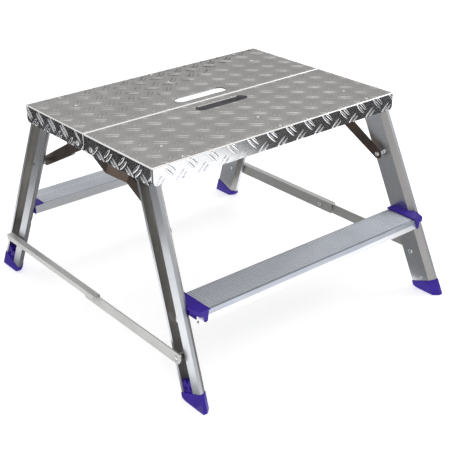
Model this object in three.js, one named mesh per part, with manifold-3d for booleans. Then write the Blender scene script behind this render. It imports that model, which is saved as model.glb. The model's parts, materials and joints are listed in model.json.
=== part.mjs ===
// Folding double-sided step platform in aluminium: a split tread-plate top on two splayed
// leg frames, each with one ribbed step, tied by steel struts and folding side spreaders.
// Millimetres, +Z up. The origin is on the floor, under the seam of the top.
// X runs along the steps, -Y is the front side and +Y the back side.
import * as THREE from "three";
import { mergeVertices } from "three/addons/utils/BufferGeometryUtils.js";
import Module from "manifold-3d";

const wasm = await Module();
wasm.setup();

// ---------------------------------------------------------------- driving dimensions
const TOP_HEIGHT = 500;
const TOP_LENGTH = 726;
const TOP_EDGE_Y = 264; // outer edge of each half from the seam plane
const SEAM_EDGE_Y = 2; // inner edge of each half from the seam plane
const SHEET = 2.5;
const FLANGE_DEPTH = 42;
const SEAM_FLANGE_DEPTH = 38;
const SEAM_FLANGE_X = 345; // the inner flange stops short of the end flanges
const FLANGE_CORNER_R = 10;
const CORNER_SLIT = 1; // the folded flanges do not quite meet at the outer corners

const HAND_SLOT = { y: 41, length: 152, width: 32 };

const RIB = { innerY: 165, outerY: 258, flange: 20, height: 22, halfLength: 320, wall: 2 };

// Each stile leans outwards going down: in Y by the leg's splay and in X by the taper.
const SPLAY = 0.41;
const TAPER = 0.075;
const STILE = {
  outerX: 387, // at the floor line
  width: 21,
  depth: 74,
  bevel: 12.5,
  wall: 2.2,
  lip: 29,
  rearLip: 8,
  frontY: -448, // front stile, at the floor line
  topZ: 496.2, // just under the sheet
};
const BACK_STILE_SHIFT = 2 * -STILE.frontY - STILE.depth; // from front stile to back stile
const STILE_END_Z = 48; // end of the stile over the toe; it ends square to its length
const TONGUE_HOLE = { y: 320, lowZ: 160, highZ: 176, radius: 5 };

const TOP_PIVOT = { y: 28, z: 470 }; // strut head, link plate and half platform turn here
const STILE_PIVOT = { y: 257, z: 346 }; // strut foot turns on the stile here
const SPREADER_PIVOT = { y: 359, z: 100 };

const LINK = { innerX: 357.6, thickness: 2.6, radius: 12 };
const STRUT = {
  thickness: 3.9,
  headX: 353.4, // inner face at the head
  footX: 324, // inner face at the foot
  headRadius: 17,
  footRadius: 12,
  jogStart: 158, // from the foot pivot, along the strut
  jogEnd: 200,
};

const TREAD = { topZ: 211, frontY: 391, rearY: 304, halfLength: 346.9, wall: 2 };
const TREAD_RIB = { pitch: 6, height: 1.3, base: 4, crest: 3.2 };
const TREAD_CAP = { flapX: 322, thickness: 2.6, plate: 2.4, claw: 14, clawDepth: 27, lipDepth: 10 };

const FOOT = { proud: 1.4, plugLength: 28, holeRadius: 4 };

const SPREADER = {
  barX: 386.8,
  barThickness: 3.5,
  barHeight: 28,
  channelX: 382.4,
  channelWidth: 16,
  channelHeight: 14, // of the outer wall; the inner wall covers the bar
  channelWall: 1.4,
  overhang: 48, // channel past the middle pivot
  tail: 24, // channel past the back pivot
};

const GAP = 0.3; // running clearance between pieces
const RIVET = { shank: 3.2, head: 6.6, dome: 2.4 };
const BOSS_RADIUS = 9;

// ---------------------------------------------------------------- materials
const finish = (color, roughness, metalness) =>
  new THREE.MeshStandardMaterial({ color, roughness, metalness });
const materials = {
  treadPlate: finish(0xb4b2ad, 0.4, 1),
  extrusion: finish(0xaeb0b0, 0.42, 1),
  steel: finish(0x3d3a38, 0.5, 0.8),
  rivet: finish(0xc9c9c6, 0.3, 1),
  plastic: finish(0x4a34a0, 0.5, 0),
};

// ---------------------------------------------------------------- solid helpers
function toSolid(geometry) {
  const bare = geometry.clone();
  for (const name of Object.keys(bare.attributes)) {
    if (name !== "position") bare.deleteAttribute(name);
  }
  const merged = mergeVertices(bare, 1e-4);
  return new wasm.Manifold(
    new wasm.Mesh({
      numProp: 3,
      vertProperties: merged.attributes.position.array,
      triVerts: new Uint32Array(merged.index.array),
    }),
  );
}

function toGeometry(solid) {
  const mesh = solid.getMesh();
  const geometry = new THREE.BufferGeometry();
  geometry.setAttribute("position", new THREE.BufferAttribute(mesh.vertProperties, 3));
  geometry.setIndex(new THREE.BufferAttribute(mesh.triVerts, 1));
  const flat = geometry.toNonIndexed();
  flat.computeVertexNormals();
  return flat;
}

const join = (...geometries) =>
  toGeometry(geometries.map(toSolid).reduce((whole, part) => whole.add(part)));

const cut = (body, ...tools) =>
  toGeometry(tools.map(toSolid).reduce((rest, tool) => rest.subtract(tool), toSolid(body)));

const common = (a, b) => toGeometry(toSolid(a).intersect(toSolid(b)));

function box(x0, x1, y0, y1, z0, z1) {
  const geometry = new THREE.BoxGeometry(x1 - x0, y1 - y0, z1 - z0);
  return geometry.translate((x0 + x1) / 2, (y0 + y1) / 2, (z0 + z1) / 2);
}

const toShape = (points) => new THREE.Shape(points.map(([u, v]) => new THREE.Vector2(u, v)));

// An outline in X and Y, raised from z0 to z1.
function raise(outline, z0, z1, curveSegments = 8) {
  const shape = Array.isArray(outline) ? toShape(outline) : outline;
  const options = { depth: z1 - z0, bevelEnabled: false, curveSegments };
  return new THREE.ExtrudeGeometry(shape, options).translate(0, 0, z0);
}

// An outline in Y and Z, run along X from x0 to x1.
function runAlongX(outline, x0, x1, curveSegments = 8) {
  const upright = new THREE.Matrix4().makeBasis(
    new THREE.Vector3(0, 1, 0),
    new THREE.Vector3(0, 0, 1),
    new THREE.Vector3(1, 0, 0),
  );
  return raise(outline, x0, x1, curveSegments).applyMatrix4(upright);
}

// A disc or pin whose axis is parallel to X.
function pinAlongX(y, z, radius, x0, x1, segments = 16) {
  const geometry = new THREE.CylinderGeometry(radius, radius, x1 - x0, segments);
  return geometry.rotateZ(-Math.PI / 2).translate((x0 + x1) / 2, y, z);
}

// A round rivet along X: profile pairs are [radius, x], from one end to the other.
function turnedAlongX(y, z, profile, segments = 14) {
  const points = profile.map(([radius, x]) => new THREE.Vector2(radius, x));
  return new THREE.LatheGeometry(points, segments).rotateZ(-Math.PI / 2).translate(0, y, z);
}

// Profile of a domed head whose flat side is at x and whose dome points along direction.
function domeProfile(x, direction, radius = RIVET.head, height = RIVET.dome) {
  return [
    [radius, x],
    [radius * 0.86, x + direction * height * 0.55],
    [radius * 0.5, x + direction * height * 0.9],
    [0, x + direction * height],
  ];
}

// A rivet from x0 to x1 with a dome past each end.
function rivetAlongX(y, z, x0, x1, shank = RIVET.shank) {
  const inner = domeProfile(x0, -1).reverse();
  const outer = domeProfile(x1, 1);
  return turnedAlongX(y, z, [...inner, [shank, x0], [shank, x1], ...outer]);
}

// The same piece on the other side: sideX and sideY are 1 or -1.
function mirrored(geometry, sideX, sideY = 1) {
  const flat = geometry.index ? geometry.toNonIndexed() : geometry.clone();
  flat.scale(sideX, sideY, 1);
  if (sideX * sideY < 0) {
    const position = flat.attributes.position;
    for (let i = 0; i < position.count; i += 3) {
      const [x, y, z] = [position.getX(i + 1), position.getY(i + 1), position.getZ(i + 1)];
      position.setXYZ(i + 1, position.getX(i + 2), position.getY(i + 2), position.getZ(i + 2));
      position.setXYZ(i + 2, x, y, z);
    }
  }
  flat.deleteAttribute("normal");
  flat.computeVertexNormals();
  return flat;
}

// ---------------------------------------------------------------- the split top
const seamFlangeZ = TOP_HEIGHT - SEAM_FLANGE_DEPTH;
const flangeZ = TOP_HEIGHT - FLANGE_DEPTH;

// One end flange in Y and Z, for the back half. Its seam corner is rounded about the pivot.
function endFlangeOutline() {
  const radius = TOP_PIVOT.y - SEAM_EDGE_Y;
  const drop = TOP_PIVOT.z - flangeZ;
  const shape = new THREE.Shape();
  shape.moveTo(SEAM_EDGE_Y, TOP_HEIGHT);
  shape.lineTo(SEAM_EDGE_Y, TOP_PIVOT.z);
  const end = Math.PI + Math.asin(drop / radius);
  shape.absarc(TOP_PIVOT.y, TOP_PIVOT.z, radius, Math.PI, end, false);
  const farY = TOP_EDGE_Y - SHEET - CORNER_SLIT;
  shape.lineTo(farY - FLANGE_CORNER_R, flangeZ);
  const cornerZ = flangeZ + FLANGE_CORNER_R;
  shape.absarc(farY - FLANGE_CORNER_R, cornerZ, FLANGE_CORNER_R, -Math.PI / 2, 0, false);
  shape.lineTo(farY, TOP_HEIGHT);
  return shape;
}

// The long outer flange in X and Z, drawn in the XY plane before it is stood up.
function longFlangeOutline() {
  const halfX = TOP_LENGTH / 2 - SHEET;
  const r = FLANGE_CORNER_R;
  const shape = new THREE.Shape();
  shape.moveTo(-halfX, TOP_HEIGHT);
  shape.lineTo(-halfX, flangeZ + r);
  shape.absarc(-halfX + r, flangeZ + r, r, Math.PI, 1.5 * Math.PI, false);
  shape.lineTo(halfX - r, flangeZ);
  shape.absarc(halfX - r, flangeZ + r, r, -Math.PI / 2, 0, false);
  shape.lineTo(halfX, TOP_HEIGHT);
  return shape;
}

function handSlot() {
  const r = HAND_SLOT.width / 2;
  const run = HAND_SLOT.length / 2 - r;
  const shape = new THREE.Shape();
  shape.absarc(run, HAND_SLOT.y, r, -Math.PI / 2, Math.PI / 2, false);
  shape.absarc(-run, HAND_SLOT.y, r, Math.PI / 2, 1.5 * Math.PI, false);
  return raise(shape, TOP_HEIGHT - 2 * SHEET, TOP_HEIGHT + SHEET, 10);
}

// The back half: folded sheet with two end flanges, a long outer flange and a seam flange.
function halfPlatform() {
  const halfX = TOP_LENGTH / 2;
  const sheet = box(-halfX, halfX, SEAM_EDGE_Y, TOP_EDGE_Y, TOP_HEIGHT - SHEET, TOP_HEIGHT);
  const longFlange = raise(longFlangeOutline(), 0, SHEET)
    .rotateX(Math.PI / 2)
    .translate(0, TOP_EDGE_Y, 0);
  const seamFlange = box(
    -SEAM_FLANGE_X,
    SEAM_FLANGE_X,
    SEAM_EDGE_Y,
    SEAM_EDGE_Y + SHEET,
    seamFlangeZ,
    TOP_HEIGHT,
  );
  const ends = [-1, 1].map((side) => {
    const x = side < 0 ? -halfX : halfX - SHEET;
    return runAlongX(endFlangeOutline(), x, x + SHEET);
  });
  const pinHole = pinAlongX(
    TOP_PIVOT.y,
    TOP_PIVOT.z,
    RIVET.shank + GAP,
    -halfX - 1,
    halfX + 1,
  );
  return cut(join(sheet, longFlange, seamFlange, ...ends), handSlot(), pinHole);
}

// A hat-section stiffener under one half, with a flange along each long side.
function stiffener() {
  const { innerY, outerY, flange, height, halfLength, wall } = RIB;
  const top = TOP_HEIGHT - SHEET - GAP;
  const outline = [
    [innerY, top],
    [innerY, top - wall],
    [innerY + flange, top - wall],
    [innerY + flange, top - height],
    [outerY - flange, top - height],
    [outerY - flange, top - wall],
    [outerY, top - wall],
    [outerY, top],
    [outerY - flange - wall, top],
    [outerY - flange - wall, top - height + wall],
    [innerY + flange + wall, top - height + wall],
    [innerY + flange + wall, top],
  ];
  return runAlongX(outline, -halfLength, halfLength);
}

// ---------------------------------------------------------------- stiles and feet
// Leans an upright piece of the right side: direction 1 for the front frame, -1 for the back.
function lean(geometry, direction) {
  const shear = new THREE.Matrix4().set(
    1, 0, -TAPER, 0,
    0, 1, direction * SPLAY, 0,
    0, 0, 1, 0,
    0, 0, 0, 1,
  );
  return geometry.applyMatrix4(shear);
}

const frameShift = (direction) => (direction > 0 ? 0 : BACK_STILE_SHIFT);
const webInnerX = (z) => STILE.outerX - STILE.width - TAPER * z;
const webOuterX = (z) => webInnerX(z) + STILE.wall;

// The stile's cross-section at the floor line: web inside, bevelled corner, lipped front.
function stileSection(direction) {
  const { outerX, width, depth, bevel, wall, lip, rearLip, frontY } = STILE;
  const front = frontY + frameShift(direction);
  const rear = front + depth;
  const web = outerX - width;
  const slant = wall * Math.tan(Math.PI / 8); // wall thickness kept round the bevel
  return [
    [outerX, rear],
    [web, rear],
    [web, front + bevel],
    [web + bevel, front],
    [outerX, front],
    [outerX, front + lip],
    [outerX - wall, front + lip],
    [outerX - wall, front + wall],
    [web + bevel + slant, front + wall],
    [web + wall, front + bevel + slant],
    [web + wall, rear - wall],
    [outerX - wall, rear - wall],
    [outerX - wall, rear - rearLip],
    [outerX, rear - rearLip],
  ];
}

// The foot line: the stile ends square to its length. Points above it belong to the stile.
function endLineZ(y) {
  const reach = -STILE.frontY - Math.abs(y);
  return STILE_END_Z - SPLAY * reach;
}

// Outline in Y and Z of all the space that a stile may fill.
function stileTrim(direction) {
  const outerY = -STILE.frontY + 20;
  const innerY = 120;
  const side = -direction;
  const points = [
    [outerY, endLineZ(outerY)],
    [innerY, endLineZ(innerY)],
    [182, 452],
    [222, STILE.topZ],
    [outerY, STILE.topZ],
  ].map(([y, z]) => [side * y, z]);
  return side < 0 ? points : points.reverse();
}

// The web hole where the step's tongue is fixed.
function tongueHole(direction) {
  const { y, lowZ, highZ, radius } = TONGUE_HOLE;
  const at = -direction * y;
  const outline = new THREE.Shape();
  outline.absarc(at, highZ, radius, 0, Math.PI, false);
  outline.absarc(at, lowZ, radius, Math.PI, 2 * Math.PI, false);
  return runAlongX(outline, webInnerX(lowZ) - 10, webOuterX(lowZ) + 10, 6);
}

function stile(direction) {
  const blank = lean(raise(stileSection(direction), 0, TOP_HEIGHT), direction);
  const trimmed = common(blank, runAlongX(stileTrim(direction), 300, 420));
  const side = -direction;
  const holeR = RIVET.shank + GAP;
  const pivotHole = pinAlongX(side * STILE_PIVOT.y, STILE_PIVOT.z, holeR, 330, 366);
  const spreaderHole = pinAlongX(side * SPREADER_PIVOT.y, SPREADER_PIVOT.z, holeR, 340, 366);
  // The back stile's lip is notched round the spreader's boss.
  const notchR = BOSS_RADIUS + GAP;
  const bossNotch = pinAlongX(side * SPREADER_PIVOT.y, SPREADER_PIVOT.z, notchR, 370, 390, 18);
  return cut(trimmed, pivotHole, spreaderHole, bossNotch, tongueHole(direction));
}

// Outline in Y and Z of a foot: flat sole, rounded toe outside and rounded heel inside.
function footOutline(direction) {
  const side = -direction;
  const toe = -STILE.frontY;
  const shape = new THREE.Shape();
  shape.moveTo(side * (toe + 10), 5);
  shape.quadraticCurveTo(side * toe, 0.2, side * (toe - 7), 0);
  shape.lineTo(side * (toe - 62), 0);
  shape.quadraticCurveTo(side * (toe - 78), 1, side * (toe - 86), endLineZ(toe - 86) - GAP);
  shape.lineTo(side * (toe + 20), endLineZ(toe + 20) - GAP);
  return shape;
}

// A moulded foot: a cap that carries the stile's end, and a plug inside the stile.
function foot(direction) {
  const { outerX, width, depth, bevel, wall, lip, rearLip, frontY } = STILE;
  const { proud, plugLength, holeRadius } = FOOT;
  const front = frontY + frameShift(direction);
  const rear = front + depth;
  const web = outerX - width;
  const capSection = [
    [outerX + proud, rear + proud],
    [web - proud, rear + proud],
    [web - proud, front + bevel],
    [web + bevel, front - proud],
    [outerX + proud, front - proud],
  ];
  const capBlank = lean(raise(capSection, -1, 70), direction);
  const cap = common(capBlank, runAlongX(footOutline(direction), 300, 420));
  const clear = wall + GAP;
  const plugSection = [
    [outerX - clear, rear - clear],
    [web + clear, rear - clear],
    [web + clear, front + bevel + 2],
    [web + bevel + 2, front + clear],
    [outerX - clear, front + clear],
  ];
  const side = -direction;
  const plugSpace = [
    [side * 330, 12],
    [side * 460, 12],
    [side * 460, endLineZ(460) + plugLength],
    [side * 330, endLineZ(330) + plugLength],
  ];
  const plug = common(lean(raise(plugSection, 12, 90), direction), runAlongX(plugSpace, 330, 460));
  // Holes in the plug's open face, between the stile's two lips.
  const faceY = front + (depth + lip - rearLip) / 2;
  const holes = [
    [-9, 10, holeRadius],
    [9, 10, holeRadius],
    [0, plugLength, 5.5],
  ].map(([offset, rise, radius]) => {
    const y = faceY + offset;
    const z = (STILE_END_Z + rise - SPLAY * (-frontY - Math.abs(y))) / (1 + SPLAY ** 2);
    return lean(pinAlongX(y, z, radius, 374, 396, 12), direction);
  });
  return cut(join(cap, plug), ...holes);
}

// ---------------------------------------------------------------- steps
// Ribbed tread of the back side in Y and Z.
function treadOutline() {
  const { topZ, frontY, rearY, wall } = TREAD;
  const { pitch, height, base, crest } = TREAD_RIB;
  const deck = topZ - height;
  const slope = (base - crest) / 2;
  const ribs = [];
  for (let y = rearY + 4; y + base < frontY - 2; y += pitch) {
    ribs.push([y, deck], [y + slope, topZ], [y + slope + crest, topZ], [y + base, deck]);
  }
  return [
    [rearY, deck],
    [rearY, deck - 22],
    [rearY + 9, deck - 22],
    [rearY + 9, deck - 22 + wall],
    [rearY + wall, deck - 22 + wall],
    [rearY + wall, deck - wall],
    [frontY - wall, deck - wall],
    [frontY - wall, deck - 11],
    [frontY - wall - 4, deck - 14],
    [frontY - wall - 4, deck - 29 + wall],
    [frontY - 14, deck - 29 + wall],
    [frontY - 14, deck - 29],
    [frontY - 4, deck - 29],
    [frontY - 4, deck - 15],
    [frontY, deck - 12],
    [frontY, deck],
    ...ribs.reverse(),
  ];
}

const tread = () => runAlongX(treadOutline(), -TREAD.halfLength, TREAD.halfLength);

// The plastic cap between tread and stile, for the back right corner: a flap on the ribs with
// a toothed edge, an upright against the web, and a lip and a claw in front of the tread.
// The bevel is that of the stile's outer corner beside the flap.
function treadCap(bevel) {
  const { topZ, frontY, rearY, halfLength } = TREAD;
  const { flapX, thickness, plate, claw, clawDepth, lipDepth } = TREAD_CAP;
  const under = topZ + GAP;
  const top = under + thickness;
  const webX = webInnerX(top) - GAP;
  const edgeY = frontY + 4;
  const stileY = -STILE.frontY - SPLAY * under; // the stile's outer face, level with the flap
  const clawX = flapX + 4 + claw;
  const teeth = [];
  for (let y = rearY; y < frontY; y += TREAD_RIB.pitch) {
    teeth.push([flapX, y], [flapX + 2, y + 3]);
  }
  const flapOutline = [
    ...teeth,
    [flapX, edgeY],
    [halfLength + 2.5, edgeY],
    [webX + bevel, stileY + 1],
    [webX, stileY - bevel],
    [webX, rearY - 3],
    [flapX + 2, rearY - 3],
  ];
  const flap = raise(flapOutline, under, top);
  const uprightX = halfLength + GAP;
  const upright = box(uprightX, uprightX + plate, rearY - 3, frontY - 12, topZ - 22, top);
  const clawOutline = [
    [flapX + 4, top],
    [clawX, top],
    [clawX - 1, top - clawDepth],
    [clawX - 5, top - clawDepth - 2.5],
    [clawX - 10, top - clawDepth],
  ];
  const hook = raise(clawOutline, 0, 4 - GAP).rotateX(Math.PI / 2).translate(0, edgeY, 0);
  const lipOutline = [
    [clawX - 1, edgeY],
    [clawX - 1, frontY + GAP],
    [halfLength + GAP, frontY + GAP],
    [webX + 5, stileY + 5.5],
    [webX + 8, stileY + 6.5],
    [halfLength + 2.5, edgeY],
  ];
  const lip = raise(lipOutline, under - lipDepth, top);
  return join(flap, upright, hook, lip);
}

// ---------------------------------------------------------------- struts and links
// A strut of the back right corner: flat steel bar, jogged sideways to pass the stile.
function strut() {
  const run = [TOP_PIVOT.y - STILE_PIVOT.y, TOP_PIVOT.z - STILE_PIVOT.z];
  const length = Math.hypot(...run);
  const { thickness, headX, footX, headRadius, footRadius, jogStart, jogEnd } = STRUT;
  const plan = [
    [footX, -footRadius - 1],
    [footX + thickness, -footRadius - 1],
    [footX + thickness, jogStart],
    [headX + thickness, jogEnd],
    [headX + thickness, length + headRadius + 1],
    [headX, length + headRadius + 1],
    [headX, jogEnd],
    [footX, jogStart],
  ];
  const bend = raise(plan, -headRadius - 1, headRadius + 1);
  const tangent = Math.acos((footRadius - headRadius) / length);
  const side = new THREE.Shape();
  side.absarc(0, 0, footRadius, tangent, 2 * Math.PI - tangent, false);
  side.absarc(length, 0, headRadius, -tangent, tangent, false);
  const outline = runAlongX(side, footX - 5, headX + thickness + 5, 12);
  const bar = common(bend, outline);
  const holeR = RIVET.shank + GAP;
  const holes = [0, length].map((y) => pinAlongX(y, 0, holeR, footX - 5, headX + 10));
  const slope = Math.atan2(run[1], run[0]);
  return cut(bar, ...holes).rotateX(slope).translate(0, STILE_PIVOT.y, STILE_PIVOT.z);
}

// The plate at each end that joins the pivots of the two halves, for the right end.
function linkPlate() {
  const { innerX, thickness, radius } = LINK;
  const shape = new THREE.Shape();
  shape.absarc(TOP_PIVOT.y, TOP_PIVOT.z, radius, -Math.PI / 2, Math.PI / 2, false);
  shape.absarc(-TOP_PIVOT.y, TOP_PIVOT.z, radius, Math.PI / 2, 1.5 * Math.PI, false);
  const plate = runAlongX(shape, innerX, innerX + thickness, 12);
  const holes = [-1, 1].map((side) =>
    pinAlongX(side * TOP_PIVOT.y, TOP_PIVOT.z, RIVET.shank + GAP, innerX - 1, innerX + 4),
  );
  return cut(plate, ...holes);
}

// The spacer that holds a strut's foot clear of the stile's web.
function strutSpacer() {
  const from = STRUT.footX + STRUT.thickness + GAP;
  const to = webInnerX(STILE_PIVOT.z + 8) - GAP;
  const ring = pinAlongX(STILE_PIVOT.y, STILE_PIVOT.z, 7, from, to);
  const bore = pinAlongX(STILE_PIVOT.y, STILE_PIVOT.z, RIVET.shank + GAP, from - 1, to + 1);
  return cut(ring, bore);
}

function strutRivet() {
  const { y, z } = STILE_PIVOT;
  return rivetAlongX(y, z, STRUT.footX - GAP, webOuterX(z - RIVET.head) + GAP);
}

function topPivotPin() {
  const { y, z } = TOP_PIVOT;
  return rivetAlongX(y, z, STRUT.headX - GAP, TOP_LENGTH / 2 + GAP);
}

// ---------------------------------------------------------------- spreaders
// The channel hinged on the back stile, open below, for the right side. Its inner wall is deep
// enough to carry both pivots, and its short outer wall only covers the top of the bar.
function spreaderChannel() {
  const { channelX, channelWidth, channelHeight, channelWall, barHeight } = SPREADER;
  const { overhang, tail } = SPREADER;
  const { y: pinY, z: pinZ } = SPREADER_PIVOT;
  const outerX = channelX + channelWidth;
  const top = pinZ + barHeight / 2 + GAP + channelWall;
  const farY = pinY + tail;
  const section = [
    [channelX, pinZ - barHeight / 2],
    [channelX + channelWall, pinZ - barHeight / 2],
    [channelX + channelWall, top - channelWall],
    [outerX - channelWall, top - channelWall],
    [outerX - channelWall, top - channelHeight],
    [outerX, top - channelHeight],
    [outerX, top],
    [channelX, top],
  ];
  const body = raise(section, 0, farY + overhang).rotateX(Math.PI / 2).translate(0, farY, 0);
  const pivotHoles = [0, pinY].map((y) =>
    pinAlongX(y, pinZ, RIVET.shank + GAP, channelX - 1, channelX + channelWall + 1),
  );
  const smallHole = pinAlongX(6 - overhang, top - 8, 3, outerX - channelWall - 1, outerX + 1);
  return cut(body, ...pivotHoles, smallHole);
}

// The flat bar hinged on the channel and joined to the front stile, for the right side.
function spreaderBar() {
  const { barX, barThickness, barHeight } = SPREADER;
  const { y: pinY, z: pinZ } = SPREADER_PIVOT;
  const r = barHeight / 2;
  const shape = new THREE.Shape();
  shape.absarc(0, pinZ, r, -Math.PI / 2, Math.PI / 2, false);
  shape.absarc(-pinY, pinZ, r, Math.PI / 2, 1.5 * Math.PI, false);
  const bar = runAlongX(shape, barX, barX + barThickness, 10);
  const holes = [0, -pinY].map((y) =>
    pinAlongX(y, pinZ, RIVET.shank + GAP, barX - 1, barX + barThickness + 1),
  );
  return cut(bar, ...holes);
}

// The round boss in the stile's recess that carries a spreader's end. Its shank passes through
// the web and ends in a dome on the inner side.
function spreaderBoss(direction) {
  const { z } = SPREADER_PIVOT;
  const y = -direction * SPREADER_PIVOT.y;
  const seat = webInnerX(z + RIVET.head) - GAP;
  const from = webOuterX(z - 10) + GAP;
  const to = (direction > 0 ? SPREADER.barX : SPREADER.channelX) - GAP;
  const profile = [
    ...domeProfile(seat, -1).reverse(),
    [RIVET.shank, seat],
    [RIVET.shank, from],
    [BOSS_RADIUS, from],
    [BOSS_RADIUS, to - 3],
    [7, to],
    [0, to],
  ];
  return turnedAlongX(y, z, profile, 18);
}

// The rivet that closes a spreader's end: it rides on the spreader and stops at the boss.
function spreaderEndRivet(direction) {
  const { barX, barThickness, channelX, channelWall } = SPREADER;
  const { z } = SPREADER_PIVOT;
  const y = -direction * SPREADER_PIVOT.y;
  const inner = direction > 0 ? barX : channelX;
  const outer = inner + (direction > 0 ? barThickness : channelWall);
  const profile = [[0, inner], [RIVET.shank, inner], [RIVET.shank, outer + GAP]];
  return turnedAlongX(y, z, [...profile, ...domeProfile(outer + GAP, 1)]);
}

function spreaderMiddleRivet() {
  const { channelX, barX, barThickness } = SPREADER;
  return rivetAlongX(0, SPREADER_PIVOT.z, channelX - GAP, barX + barThickness + GAP);
}

// The small rivet through the web that holds the foot's plug.
function footRivet(direction) {
  const y = -direction * 397;
  const z = 38.5;
  const radius = 4.5;
  const seat = webInnerX(z + radius) - GAP;
  const profile = [...domeProfile(seat, -1, radius, 1.8).reverse(), [0, seat]];
  return turnedAlongX(y, z, profile, 12);
}

// ---------------------------------------------------------------- assembly
const platform = new THREE.Group();

function place(name, geometry, material) {
  const mesh = new THREE.Mesh(geometry, material);
  mesh.name = name;
  platform.add(mesh);
}

// Sides: the back frame is at +Y and the front frame at -Y; direction is the splay's sign.
const FRAMES = [
  { name: "front", sideY: -1, direction: 1 },
  { name: "back", sideY: 1, direction: -1 },
];
const SIDES = [
  { name: "left", sideX: -1 },
  { name: "right", sideX: 1 },
];

for (const frame of FRAMES) {
  const { name, sideY, direction } = frame;
  place(`platform_${name}`, mirrored(halfPlatform(), 1, sideY), materials.treadPlate);
  place(`platform_stiffener_${name}`, mirrored(stiffener(), 1, sideY), materials.extrusion);
  place(`tread_${name}`, mirrored(tread(), 1, sideY), materials.extrusion);
  for (const side of SIDES) {
    const corner = `${name}_${side.name}`;
    const { sideX } = side;
    place(`stile_${corner}`, mirrored(stile(direction), sideX), materials.extrusion);
    place(`foot_${corner}`, mirrored(foot(direction), sideX), materials.plastic);
    place(`foot_rivet_${corner}`, mirrored(footRivet(direction), sideX), materials.rivet);
    const cap = treadCap(direction > 0 ? STILE.bevel : 0);
    place(`tread_cap_${corner}`, mirrored(cap, sideX, sideY), materials.plastic);
    place(`strut_${corner}`, mirrored(strut(), sideX, sideY), materials.steel);
    place(`strut_spacer_${corner}`, mirrored(strutSpacer(), sideX, sideY), materials.rivet);
    place(`strut_rivet_${corner}`, mirrored(strutRivet(), sideX, sideY), materials.rivet);
    place(`top_pivot_pin_${corner}`, mirrored(topPivotPin(), sideX, sideY), materials.rivet);
    place(`spreader_boss_${corner}`, mirrored(spreaderBoss(direction), sideX), materials.rivet);
    const endRivet = mirrored(spreaderEndRivet(direction), sideX);
    place(`spreader_end_rivet_${corner}`, endRivet, materials.rivet);
  }
}

for (const side of SIDES) {
  const { name, sideX } = side;
  place(`link_plate_${name}`, mirrored(linkPlate(), sideX), materials.steel);
  place(`spreader_channel_${name}`, mirrored(spreaderChannel(), sideX), materials.extrusion);
  place(`spreader_bar_${name}`, mirrored(spreaderBar(), sideX), materials.extrusion);
  const rivet = mirrored(spreaderMiddleRivet(), sideX);
  place(`spreader_middle_rivet_${name}`, rivet, materials.rivet);
}

export default platform;
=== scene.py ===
"""Looks of the folding step platform: raised tread pattern, softened sheet-metal and extrusion
edges, and procedural materials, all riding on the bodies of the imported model."""

import json
import math

import bmesh
import bpy
from mathutils import Matrix, Vector


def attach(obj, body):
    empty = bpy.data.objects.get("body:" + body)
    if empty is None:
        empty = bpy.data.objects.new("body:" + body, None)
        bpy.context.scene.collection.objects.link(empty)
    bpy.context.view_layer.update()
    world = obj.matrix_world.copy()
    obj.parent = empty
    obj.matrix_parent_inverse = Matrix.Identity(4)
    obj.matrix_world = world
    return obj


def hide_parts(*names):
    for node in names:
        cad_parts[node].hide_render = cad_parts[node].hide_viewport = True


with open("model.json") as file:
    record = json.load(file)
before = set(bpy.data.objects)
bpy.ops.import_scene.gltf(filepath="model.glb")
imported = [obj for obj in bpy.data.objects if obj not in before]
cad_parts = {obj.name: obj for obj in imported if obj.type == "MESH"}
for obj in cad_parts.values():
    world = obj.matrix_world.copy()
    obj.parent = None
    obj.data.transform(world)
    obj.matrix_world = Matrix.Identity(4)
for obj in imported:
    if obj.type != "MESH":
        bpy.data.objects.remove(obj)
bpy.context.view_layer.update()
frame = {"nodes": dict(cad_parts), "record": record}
nodes = frame["nodes"]

FRAMES = {"front": -1, "back": 1}
SIDES = {"left": -1, "right": 1}
MM = 0.001


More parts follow.
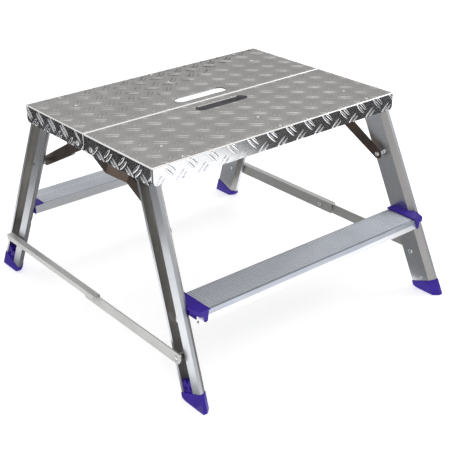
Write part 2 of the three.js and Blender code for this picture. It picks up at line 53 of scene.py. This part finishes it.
# ---------------------------------------------------------------- materials
class Nodes:
    """A material's node tree, with short ways to add and join nodes."""

    def __init__(self, name):
        self.material = bpy.data.materials.new(name)
        self.material.use_nodes = True
        self.tree = self.material.node_tree
        self.shader = self.tree.nodes["Principled BSDF"]
        self.coords = self.add("ShaderNodeTexCoord").outputs["Object"]

    def add(self, kind, inputs=None, **settings):
        node = self.tree.nodes.new(kind)
        for key, value in settings.items():
            setattr(node, key, value)
        for key, value in (inputs or {}).items():
            if isinstance(value, bpy.types.NodeSocket):
                self.tree.links.new(value, node.inputs[key])
            else:
                node.inputs[key].default_value = value
        return node

    def noise(self, scale, stretch=(1, 1, 1), detail=3, turn=(0, 0, 0)):
        inputs = {"Vector": self.coords, "Scale": stretch, "Rotation": turn}
        place = self.add("ShaderNodeMapping", inputs)
        inputs = {"Vector": place.outputs[0], "Scale": scale, "Detail": detail}
        return self.add("ShaderNodeTexNoise", inputs).outputs[0]

    def remap(self, value, low, high, start=0.3, end=0.7):
        inputs = {"Value": value, "From Min": start, "From Max": end, "To Min": low, "To Max": high}
        return self.add("ShaderNodeMapRange", inputs).outputs[0]

    def blend(self, factor, a, b):
        node = self.add("ShaderNodeMix", data_type="RGBA")
        for socket, value in zip((node.inputs[0], node.inputs[6], node.inputs[7]), (factor, a, b)):
            if isinstance(value, bpy.types.NodeSocket):
                self.tree.links.new(value, socket)
            else:
                socket.default_value = value
        return node.outputs[2]

    def math(self, operation, a, b):
        node = self.add("ShaderNodeMath", operation=operation)
        for socket, value in zip(node.inputs, (a, b)):
            if isinstance(value, bpy.types.NodeSocket):
                self.tree.links.new(value, socket)
            else:
                socket.default_value = value
        return node.outputs[0]

    def plug(self, name, value):
        socket = self.shader.inputs[name]
        if isinstance(value, bpy.types.NodeSocket):
            self.tree.links.new(value, socket)
        else:
            socket.default_value = value

    def bump(self, height, strength, distance):
        inputs = {"Height": height, "Strength": strength, "Distance": distance}
        self.plug("Normal", self.add("ShaderNodeBump", inputs).outputs[0])


def metal(name, light, dark, rough, grain=(40, 1, 1), turn=(0, 0, 0), bump=0.12, glow=0.0):
    """Bare metal with drawn grain: light and dark tints, a roughness range and a grain direction.
    A little glow paints a highlight that keeps the thin edges bright from every side."""
    n = Nodes(name)
    drawn = n.noise(60, grain, 4, turn)
    cloud = n.noise(9)
    tint = n.math("MULTIPLY_ADD", drawn, 0.6)
    n.tree.links.new(n.remap(cloud, 0.0, 0.4), tint.node.inputs[2])
    n.plug("Base Color", n.blend(n.remap(tint, 0.0, 1.0, 0.25, 0.75), (*dark, 1), (*light, 1)))
    n.plug("Metallic", 1.0)
    n.plug("Roughness", n.remap(tint, rough[1], rough[0], 0.25, 0.75))
    n.plug("Emission Color", (1, 1, 1, 1))
    n.plug("Emission Strength", glow)
    n.bump(drawn, bump, 0.00006)
    return n.material


def moulded(name, light, dark, rough):
    """Moulded plastic with a fine sparked grain and a slight bloom."""
    n = Nodes(name)
    fine = n.noise(1400, detail=2)
    cloud = n.noise(26, detail=4)
    n.plug("Base Color", n.blend(n.remap(cloud, 0.0, 1.0), (*dark, 1), (*light, 1)))
    n.plug("Roughness", n.remap(cloud, rough[0], rough[1]))
    n.plug("Specular IOR Level", 0.3)
    n.bump(fine, 0.25, 0.00012)
    return n.material


SPLAY = 0.41
TAPER = 0.075
LEAN = math.atan(SPLAY)


def stile_finish(frame_name, kind, light, dark, rough):
    """Extruded metal whose grain runs along the stiles of one leg frame."""
    turn = (-LEAN if frame_name == "front" else LEAN, 0, 0)
    return metal(f"stile_{kind}_{frame_name}", light, dark, rough, (12, 12, 0.25), turn)


ALONG_TOP = (0.6, 8, 3)
ALONG_STEP = (0.2, 6, 6)
plate_metal = metal("rolled_plate", (0.60, 0.585, 0.56), (0.49, 0.475, 0.455), (0.3, 0.4), (0.6, 14, 1))
# The flange finish is the plate's metal painted near white, as painted light on the outsides of the
# flanges.
flange_lit_metal = metal("flange", (0.97, 0.97, 0.98), (0.80, 0.81, 0.83), (0.14, 0.22), ALONG_TOP, bump=0.01)
bar_metal = metal("raised_bars", (0.60, 0.59, 0.57), (0.50, 0.49, 0.47), (0.28, 0.36), (1, 4, 4))
# The edge finish is the metal painted near white with a little glow: a painted highlight along the rounded
# edges.
edge_highlight_metal = metal("edges", (0.92, 0.91, 0.89), (0.80, 0.79, 0.77), (0.24, 0.34), (1, 1, 1), glow=0.3)
# The underside finish is the plate's metal painted dark, as painted shade on the inner upright faces.
underside_shade_metal = metal("underside", (0.20, 0.20, 0.21), (0.13, 0.13, 0.14), (0.45, 0.58), ALONG_TOP)
# The recess and bevel finishes are the stile metal painted darker, as painted shade.
stile_metal, recess_shade_metal, bevel_shade_metal = {}, {}, {}
for name in FRAMES:
    stile_metal[name] = stile_finish(name, "face", (0.77, 0.79, 0.82), (0.65, 0.67, 0.70), (0.28, 0.38))
    recess_shade_metal[name] = stile_finish(name, "recess", (0.52, 0.51, 0.49), (0.40, 0.39, 0.37), (0.40, 0.50))
    bevel_shade_metal[name] = stile_finish(name, "bevel", (0.50, 0.48, 0.47), (0.40, 0.39, 0.38), (0.34, 0.44))
tread_metal = metal("crests", (0.97, 0.98, 1.0), (0.88, 0.90, 0.93), (0.42, 0.50), ALONG_STEP, bump=0.05)
# The groove finish is the tread metal painted darker, as painted shade in the grooves and on the nose band.
groove_shade_metal = metal("grooves", (0.55, 0.58, 0.64), (0.44, 0.47, 0.53), (0.40, 0.48), ALONG_STEP, bump=0.04)
spreader_metal = metal("spreader", (0.74, 0.74, 0.72), (0.64, 0.64, 0.62), (0.44, 0.54), (6, 0.4, 6))
strut_steel = metal("strut_steel", (0.14, 0.105, 0.085), (0.085, 0.066, 0.055), (0.32, 0.44), (8, 2, 2))
rivet_metal = metal("rivet", (0.84, 0.84, 0.83), (0.70, 0.70, 0.69), (0.18, 0.28), (2, 2, 2))
purple = moulded("purple_plastic", (0.046, 0.015, 0.36), (0.030, 0.009, 0.25), (0.36, 0.5))


# ---------------------------------------------------------------- pieces
def piece(name, mesh, body, material, smooth=True):
    obj = bpy.data.objects.new(name, mesh)
    bpy.context.scene.collection.objects.link(obj)
    mesh.materials.clear()
    mesh.materials.append(material)
    for polygon in mesh.polygons:
        polygon.use_smooth = smooth
    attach(obj, body)
    return obj


def body_of(node):
    for body, names in frame["record"]["behaviour"]["bodies"].items():
        if node in names:
            return body
    raise ValueError(node)


def softened(node, material, width, segments=2, weight=None, angle=28, flat=False):
    """A copy of a CAD node with its sharp edges rounded, which stands for that node.
    weight gives each sharp edge's share of the width from its two ends, and with it the width
    is kept even where short edges are near. flat is for pieces that have flat faces only."""
    mesh = nodes[node].data.copy()
    mesh.name = node + "_soft"
    bm = bmesh.new()
    bm.from_mesh(mesh)
    bmesh.ops.remove_doubles(bm, verts=bm.verts, dist=1e-6)
    bmesh.ops.dissolve_limit(bm, angle_limit=math.radians(1), verts=bm.verts, edges=bm.edges)
    layer = bm.edges.layers.float.new("bevel_weight_edge")
    for edge in bm.edges:
        if len(edge.link_faces) == 2 and edge.calc_face_angle(0) > math.radians(angle):
            edge[layer] = weight(*(v.co for v in edge.verts)) if weight else 1.0
            edge.smooth = edge[layer] > 0
    bm.to_mesh(mesh)
    bm.free()
    obj = piece(node + "_body", mesh, body_of(node), material, not flat)
    bevel = obj.modifiers.new("edges", "BEVEL")
    bevel.limit_method = "WEIGHT"
    bevel.width = width * MM
    bevel.segments = segments
    bevel.use_clamp_overlap = weight is None
    if not flat:
        obj.modifiers.new("normals", "WEIGHTED_NORMAL").keep_sharp = True
    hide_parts(node)
    return obj


# ---------------------------------------------------------------- raised tread pattern
TOP_Z = 500.0
EDGE_Y = 264.0
END_X = 363.0
SEAM_Y = 2.0
FLANGE_Z = 458.0
SLOT = {"y": 41.0, "half": 60.0, "radius": 17.4}
BAR = {
    "half_length": 19.5,
    "half_width": 3.9,
    "tip_half_width": 0.25,
    "height": 0.95,
    "shoulder": 0.72,
    "spacing": 5.1,
    "sunk": 0.4,
}
STATIONS = 11
ACROSS = (-1.0, -0.62, 0.0, 0.62, 1.0)
# Where each half's pattern starts, on its top, its long flange and its end flanges. The front half
# is drawn like the back one and mirrored.
PATTERN = {
    "front": {
        "start": (-319.2, 49.7),
        "row_pitch": 53.5,
        "slope": 1,
        "end_start": 42.0,
        "end_pitch": 56.0,
        "end_rows": (477.0, 460.0),
    },
    "back": {
        "start": (110.8, 52.5),
        "row_pitch": 55.5,
        "slope": -1,
        "end_start": 29.8,
        "end_pitch": 55.2,
        "end_rows": (483.0, 461.0),
    },
}
COLUMN_PITCH = 57.0
LONG_FLANGE_ROWS = (488.0, 461.0)
# Ranges that reach past every edge, where the ridges are trimmed.
TOP_X, TOP_Y, FLANGE_X, FLANGE_Y = (-400, 400), (-40, 300), (-370, 370), (0, 280)
FOLD_INSET = 2.2
PIN = {"at": (28.0, 470.0), "clear": 15.0}
RIVET_X = (-275.0, 0.0, 280.0)
RIVET_Y = (175.0, 251.0)
RIVET_HEAD = {"radius": 4.2, "height": 1.7, "clear": 5.5}


def bar_mesh(centre, direction):
    """One lens-shaped ridge in flat coordinates, with its height as the third coordinate."""
    along = Vector((direction[0], direction[1])).normalized()
    side = Vector((-along.y, along.x))
    bm = bmesh.new()
    rows = []
    for i in range(STATIONS):
        t = math.sin((i / (STATIONS - 1) - 0.5) * math.pi)
        full = max(0.0, 1 - t * t)
        width = BAR["half_width"] * full**0.75 + BAR["tip_half_width"]
        height = BAR["height"] * full**0.55
        row = []
        for s in ACROSS:
            p = Vector(centre) + along * (t * BAR["half_length"]) + side * (s * width)
            h = -BAR["sunk"] if abs(s) == 1.0 else height * (1.0 if s == 0.0 else BAR["shoulder"])
            row.append(bm.verts.new((p.x, p.y, h)))
        rows.append(row)
    for a, b in zip(rows, rows[1:]):
        for i in range(len(ACROSS) - 1):
            bm.faces.new((a[i], b[i], b[i + 1], a[i + 1]))
        bm.faces.new((a[-1], b[-1], b[0], a[0]))
    bm.faces.new(rows[0])
    bm.faces.new(list(reversed(rows[-1])))
    bmesh.ops.recalc_face_normals(bm, faces=bm.faces)
    return bm


def trim(bm, point, normal):
    """Cuts off what lies on the normal's side of a line in flat coordinates, and closes the cut."""
    n = Vector((normal[0], normal[1], 0)).normalized()
    p = Vector((point[0], point[1], 0))
    heights = [(v.co - p).dot(n) for v in bm.verts]
    if max(heights, default=-1) <= 0:
        return
    if min(heights) >= 0:
        bm.clear()
        return
    everything = bm.verts[:] + bm.edges[:] + bm.faces[:]
    cut = bmesh.ops.bisect_plane(bm, geom=everything, plane_co=p, plane_no=n, clear_outer=True)
    edges = [e for e in cut["geom_cut"] if isinstance(e, bmesh.types.BMEdge)]
    bmesh.ops.holes_fill(bm, edges=edges)


def on_spine(x):
    """The nearest point of the hand slot's middle line."""
    return max(-SLOT["half"], min(SLOT["half"], x))


def clear_slot(bm):
    """Keeps a ridge clear of the hand slot, whose straight middle ends in two half circles."""
    if not bm.verts:
        return
    centre = sum((v.co for v in bm.verts), Vector()) / len(bm.verts)
    spine = Vector((on_spine(centre.x), SLOT["y"], 0))
    reach = min(math.hypot(v.co.x - on_spine(v.co.x), v.co.y - SLOT["y"]) for v in bm.verts)
    if reach >= SLOT["radius"]:
        return
    away = Vector((centre.x, centre.y, 0)) - spine
    if away.length < 1e-6:
        bm.clear()
        return
    away.normalize()
    edge = spine + away * SLOT["radius"]
    trim(bm, edge, -away)


def pattern(groups, lines, fold, holes=()):
    """Pairs of ridges at the groups' centres, trimmed to the lines and folded onto a face."""
    verts, faces = [], []
    for centre, direction in groups:
        side = Vector((-direction[1], direction[0])).normalized()
        for offset in (-1, 1):
            at = Vector(centre) + side * (offset * BAR["spacing"])
            if any((at - Vector(hole)).length < radius for hole, radius in holes):
                continue
            bm = bar_mesh(at, direction)
            for point, normal in lines:
                if bm.verts:
                    trim(bm, point, normal)
            if fold is on_top:
                clear_slot(bm)
            if bm.verts:
                bm.verts.index_update()
                base = len(verts)
                verts += [fold(*v.co) for v in bm.verts]
                faces += [[base + v.index for v in face.verts] for face in bm.faces]
            bm.free()
    return verts, faces


def on_top(u, v, h):
    return (u, v, TOP_Z + h)


def on_long_flange(u, v, h):
    return (u, EDGE_Y + h, v)


def on_end_flange(side):
    return lambda u, v, h: (side * (END_X + h), u, v)


def grid(start, pitch, low, high):
    first = math.ceil((low - start) / pitch)
    return [start + pitch * i for i in range(first, math.floor((high - start) / pitch) + 1)]


def pattern_of_half(name, sign):
    """The ridges of one half, drawn for the back half and mirrored for the front."""
    layout = PATTERN[name]
    (start_x, start_y), pitch_y, slope = layout["start"], layout["row_pitch"], layout["slope"]
    pairs = []
    for row in grid(start_y, pitch_y, *TOP_Y):
        for x in grid(start_x, COLUMN_PITCH, *TOP_X):
            pairs.append(((x, row), (1, slope)))
    for row in grid(start_y + pitch_y / 2, pitch_y, *TOP_Y):
        for x in grid(start_x + COLUMN_PITCH / 2, COLUMN_PITCH, *TOP_X):
            pairs.append(((x, row), (1, -slope)))
    x_edge, y_low, y_high = END_X - FOLD_INSET, SEAM_Y + FOLD_INSET, EDGE_Y - FOLD_INSET
    edges = [((x_edge, 0), (1, 0)), ((-x_edge, 0), (-1, 0))]
    edges += [((0, y_low), (0, -1)), ((0, y_high), (0, 1))]
    rivets = [((x, y), RIVET_HEAD["clear"]) for x in RIVET_X for y in RIVET_Y]
    verts, faces = pattern(pairs, edges, on_top, rivets)

    def add(more):
        base = len(verts)
        verts.extend(more[0])
        faces.extend([[base + i for i in face] for face in more[1]])

    high, low = TOP_Z - FOLD_INSET, FLANGE_Z + 0.5
    high_row, low_row = LONG_FLANGE_ROWS
    middle_x = start_x + COLUMN_PITCH / 2
    long_pairs = [((x, high_row), (1, -1)) for x in grid(start_x, COLUMN_PITCH, *FLANGE_X)]
    long_pairs += [((x, low_row), (1, 1)) for x in grid(middle_x, COLUMN_PITCH, *FLANGE_X)]
    ends = END_X - 5
    cuts = [((ends, 0), (1, 0)), ((-ends, 0), (-1, 0)), ((0, high), (0, 1)), ((0, low), (0, -1))]
    corners = [((s * (ends - 8), low), (s * 0.7, -0.7)) for s in (-1, 1)]
    add(pattern(long_pairs, cuts + corners, on_long_flange))

    start, pitch = layout["end_start"], layout["end_pitch"]
    high_row, low_row = layout["end_rows"]
    short_pairs = [((y, high_row), (1, 1)) for y in grid(start, pitch, *FLANGE_Y)]
    short_pairs += [((y, low_row), (1, -1)) for y in grid(start + pitch / 2, pitch, *FLANGE_Y)]
    cuts = [
        ((SEAM_Y + 3, 0), (-1, 0)),
        ((EDGE_Y - 6, 0), (1, 0)),
        ((0, high), (0, 1)),
        ((0, low), (0, -1)),
        ((10.5, low), (-0.75, -0.66)),
        ((EDGE_Y - 11, low), (0.7, -0.7)),
    ]
    for side in (-1, 1):
        add(pattern(short_pairs, cuts, on_end_flange(side), [(PIN["at"], PIN["clear"])]))

    mesh = bpy.data.meshes.new(f"tread_pattern_{name}")
    mesh.from_pydata([(x * MM, sign * y * MM, z * MM) for x, y, z in verts], [], faces)
    bm = bmesh.new()
    bm.from_mesh(mesh)
    bmesh.ops.recalc_face_normals(bm, faces=bm.faces)
    bm.to_mesh(mesh)
    bm.free()
    bars = piece(f"tread_pattern_{name}", mesh, f"platform_{name}_half", bar_metal)
    # Ridges on the flanges take the flange finish, which is painted light.
    mesh.materials.append(flange_lit_metal)
    for polygon in bars.data.polygons:
        polygon.material_index = int(polygon.center.z < (TOP_Z - 1) * MM)


def dome(bm, at, radius, height):
    """A low domed rivet head with a small dimple, standing on a level face."""
    profile = [(1.0, -0.05), (1.0, 0.25), (0.86, 0.68), (0.6, 0.95), (0.34, 1.0), (0.26, 0.7), (0.0, 0.6)]
    count = 20
    rings = []
    for r, h in profile[:-1]:
        ring = []
        for i in range(count):
            a = 2 * math.pi * i / count
            p = Vector((r * radius * math.cos(a), r * radius * math.sin(a), h * height))
            ring.append(bm.verts.new((Vector(at) + p) * MM))
        rings.append(ring)
    top = bm.verts.new((Vector(at) + Vector((0, 0, profile[-1][1] * height))) * MM)
    for a, b in zip(rings, rings[1:]):
        for i in range(count):
            j = (i + 1) % count
            bm.faces.new((a[i], a[j], b[j], b[i]))
    for i in range(count):
        bm.faces.new((rings[-1][i], rings[-1][(i + 1) % count], top))
    bm.faces.new(list(reversed(rings[0])))


def platform_rivets(name, sign):
    bm = bmesh.new()
    for x in RIVET_X:
        for y in RIVET_Y:
            dome(bm, (x, sign * y, TOP_Z), RIVET_HEAD["radius"], RIVET_HEAD["height"])
    mesh = bpy.data.meshes.new(f"sheet_rivets_{name}")
    bm.to_mesh(mesh)
    bm.free()
    piece(f"sheet_rivets_{name}", mesh, f"platform_{name}_half", rivet_metal)


ARC_EDGE = 8 * MM
FOLD_EDGE = 100 * MM
CUT_EDGE_SHARE = 0.25


def same(a, b):
    return abs(a - b) < 1e-5


def bend_weight(a, b):
    """The sheet is rounded over its folds, eased along its cut edges and sharp round its arcs."""
    if (a - b).length < ARC_EDGE:
        return 0.0
    on_surface = same(a.z, TOP_Z * MM) and same(b.z, TOP_Z * MM)
    if on_surface and same(a.y, b.y) and abs(a.x - b.x) > FOLD_EDGE:
        return 1.0
    if on_surface and same(a.x, b.x) and same(abs(a.x), END_X * MM):
        return 1.0
    return CUT_EDGE_SHARE


RIVETS = (
    "strut_rivet",
    "top_pivot_pin",
    "spreader_end_rivet",
    "foot_rivet",
    "spreader_boss",
    "strut_spacer",
)


def finish_faces(obj, finishes, choose):
    """Gives each face the finish that choose names from its centre in mm and its normal."""
    keys = list(finishes)
    for material in finishes.values():
        obj.data.materials.append(material)
    for polygon in obj.data.polygons:
        key = choose(polygon.center / MM, polygon.normal)
        if key:
            polygon.material_index = 1 + keys.index(key)


def sheet_face(centre, normal):
    """The outsides of the long and end flanges get a near-white copy of the metal, as painted light, and
    every other upright face gets a dark copy, as painted shade.
    """
    if abs(normal.z) > 0.5:
        return None
    outside = abs(centre.y) > EDGE_Y - 1 and normal.y * centre.y > 0
    end = abs(centre.x) > END_X - 1 and normal.x * centre.x > 0
    return "flange" if outside or end else "under"


STILE_OUTER_Y, STILE_HALF_DEPTH = 448.0, 37.0
RECESS = {"web": 367.0, "bevel": 380.0, "outer": 386.0, "half_depth": 36.0}


def stile_face(frame_name, side):
    """The faces of the stile's recess and the outer bevel in it get darker copies of the stile's metal, as
    painted shade.
    """
    sign = FRAMES[frame_name]
    middle = sign * (STILE_OUTER_Y - STILE_HALF_DEPTH)

    def choose(centre, normal):
        u = side * centre.x + TAPER * centre.z
        v = centre.y + sign * SPLAY * centre.z - middle
        inside = RECESS["web"] < u < RECESS["outer"] and abs(v) < RECESS["half_depth"]
        outer_bevel = side * normal.x < -0.3 and u < RECESS["bevel"]
        if inside and outer_bevel:
            return "bevel"
        return "recess" if inside else None

    return choose


STEP_FRONT_Y = 388.0
GROOVE_Z = (208.0, 210.9)
NOSE_BAND_Z = (193.0, 210.0)


def tread_face(centre, normal):
    """Grooves between the crests of the step, and the upper band of its nose, which take the darker finish
    as painted shade.
    """
    if abs(normal.x) > 0.5:
        return None
    out, facing_out = abs(centre.y), normal.y * centre.y > 0
    groove = GROOVE_Z[0] < centre.z < GROOVE_Z[1] and out < STEP_FRONT_Y
    band = NOSE_BAND_Z[0] < centre.z < NOSE_BAND_Z[1] and out > STEP_FRONT_Y and facing_out
    return "groove" if groove or band else None


for name, sign in FRAMES.items():
    sheet = softened(f"platform_{name}", plate_metal, 2.3, 3, bend_weight, flat=True)
    finish_faces(sheet, {"flange": flange_lit_metal, "under": underside_shade_metal, "edge": edge_highlight_metal}, sheet_face)
    # The bevels of the sheet's edges take the edge finish, a painted highlight.
    sheet.modifiers["edges"].material = sheet.data.materials.find(edge_highlight_metal.name)
    pattern_of_half(name, sign)
    platform_rivets(name, sign)
    nodes[f"platform_stiffener_{name}"].data.materials.clear()
    nodes[f"platform_stiffener_{name}"].data.materials.append(plate_metal)
    step = softened(f"tread_{name}", tread_metal, 0.3, 1, flat=True)
    finish_faces(step, {"groove": groove_shade_metal}, tread_face)
    for side, side_x in SIDES.items():
        corner = f"{name}_{side}"
        stile = softened(f"stile_{corner}", stile_metal[name], 0.7, 2, flat=True)
        stile_finishes = {"recess": recess_shade_metal[name], "bevel": bevel_shade_metal[name]}
        finish_faces(stile, stile_finishes, stile_face(name, side_x))
        softened(f"foot_{corner}", purple, 1.1, 3)
        softened(f"tread_cap_{corner}", purple, 0.8, 2)
        softened(f"strut_{corner}", strut_steel, 0.7, 2)
        for kind in RIVETS:
            softened(f"{kind}_{corner}", rivet_metal, 0.3, 1, angle=50)
for side in SIDES:
    softened(f"link_plate_{side}", strut_steel, 0.5, 2)
    softened(f"spreader_channel_{side}", spreader_metal, 0.5, 2, flat=True)
    softened(f"spreader_bar_{side}", spreader_metal, 0.5, 2, flat=True)
    softened(f"spreader_middle_rivet_{side}", rivet_metal, 0.3, 1, angle=50)


# ---------------------------------------------------------------- floor, lights, camera
def plane(name, size, at, turn, material):
    bm = bmesh.new()
    bmesh.ops.create_grid(bm, x_segments=1, y_segments=1, size=0.5)
    mesh = bpy.data.meshes.new(name)
    bm.to_mesh(mesh)
    bm.free()
    obj = bpy.data.objects.new(name, mesh)
    obj.scale = (*size, 1)
    obj.location = at
    obj.rotation_euler = turn
    mesh.materials.append(material)
    bpy.context.scene.collection.objects.link(obj)
    return obj


floor_paint = Nodes("pale_floor")
floor_tint = floor_paint.blend(floor_paint.noise(20), (0.86, 0.86, 0.86, 1), (0.9, 0.9, 0.9, 1))
floor_paint.plug("Base Color", floor_tint)
floor_paint.plug("Roughness", 0.9)
floor_paint.plug("Emission Color", (1, 1, 1, 1))
floor_paint.plug("Emission Strength", 0.5)
plane("floor", (100, 100), (0, 0, 0), (0, 0, 0), floor_paint.material)


def dark_card(name, low, high, tone):
    """A dark card on the floor, seen only in reflections, as the dark side of the studio."""
    cloth = Nodes(name)
    cloth.plug("Base Color", (tone, tone, tone, 1))
    cloth.plug("Roughness", 1.0)
    size = [b - a for a, b in zip(low, high)]
    at = [(a + b) / 2 for a, b in zip(low, high)]
    card = plane(name, size, (*at, 0.004), (0, 0, 0), cloth.material)
    card.visible_camera = False
    card.visible_diffuse = False
    card.visible_shadow = False
    card.visible_transmission = False


dark_card("card_right", (0.6, -2.6), (3.0, -0.5), 0.03)
dark_card("card_left", (-2.6, 0.35), (-0.7, 3.0), 0.02)
dark_card("card_under", (-0.45, -0.42), (0.34, 0.65), 0.34)

world = bpy.data.worlds.new("studio")
bpy.context.scene.world = world
world.use_nodes = True
tree = world.node_tree
sky = tree.nodes["Background"]
where = tree.nodes.new("ShaderNodeTexCoord")
split = tree.nodes.new("ShaderNodeSeparateXYZ")
ramp = tree.nodes.new("ShaderNodeValToRGB")
tree.links.new(where.outputs["Generated"], split.inputs[0])
tree.links.new(split.outputs["Z"], ramp.inputs[0])
tree.links.new(ramp.outputs[0], sky.inputs["Color"])
ramp.color_ramp.elements[0].color = (0.35, 0.35, 0.36, 1)
ramp.color_ramp.elements[1].color = (0.85, 0.85, 0.85, 1)
ramp.color_ramp.elements.new(0.3).color = (0.62, 0.63, 0.65, 1)
ramp.color_ramp.elements.new(0.55).color = (0.85, 0.85, 0.86, 1)
sky.inputs["Strength"].default_value = 0.75


def softbox(name, at, aim, size, power):
    data = bpy.data.lights.new(name, "AREA")
    data.shape = "RECTANGLE"
    data.size, data.size_y = size
    data.energy = power
    obj = bpy.data.objects.new(name, data)
    obj.location = at
    obj.rotation_euler = (Vector(aim) - Vector(at)).to_track_quat("-Z", "Y").to_euler()
    bpy.context.scene.collection.objects.link(obj)


softbox("key", (-1.6, -2.2, 2.6), (0, 0, 0.3), (1.6, 1.6), 18)
softbox("top", (0.3, 0.8, 3.0), (0, 0, 0.3), (2.4, 1.6), 13)
softbox("side", (2.6, -1.0, 1.6), (0, 0, 0.3), (1.2, 1.6), 22)

camera_data = bpy.data.cameras.new("camera")
camera_data.lens = 77.3
camera_data.sensor_width = 36
camera = bpy.data.objects.new("camera", camera_data)
bpy.context.scene.collection.objects.link(camera)
bpy.context.scene.camera = camera
eye = Vector((-1.3834, -1.7699, 1.2660))
target = Vector((-0.0966, -0.1669, 0.250))
back = (eye - target).normalized()
level = Vector((0, 0, 1)).cross(back).normalized()
upright = back.cross(level)
roll = math.radians(-0.987)
right = level * math.cos(roll) + upright * math.sin(roll)
up = upright * math.cos(roll) - level * math.sin(roll)
camera.matrix_world = Matrix.Translation(eye) @ Matrix((right, up, back)).transposed().to_4x4()

bpy.context.scene.view_settings.view_transform = "Standard"
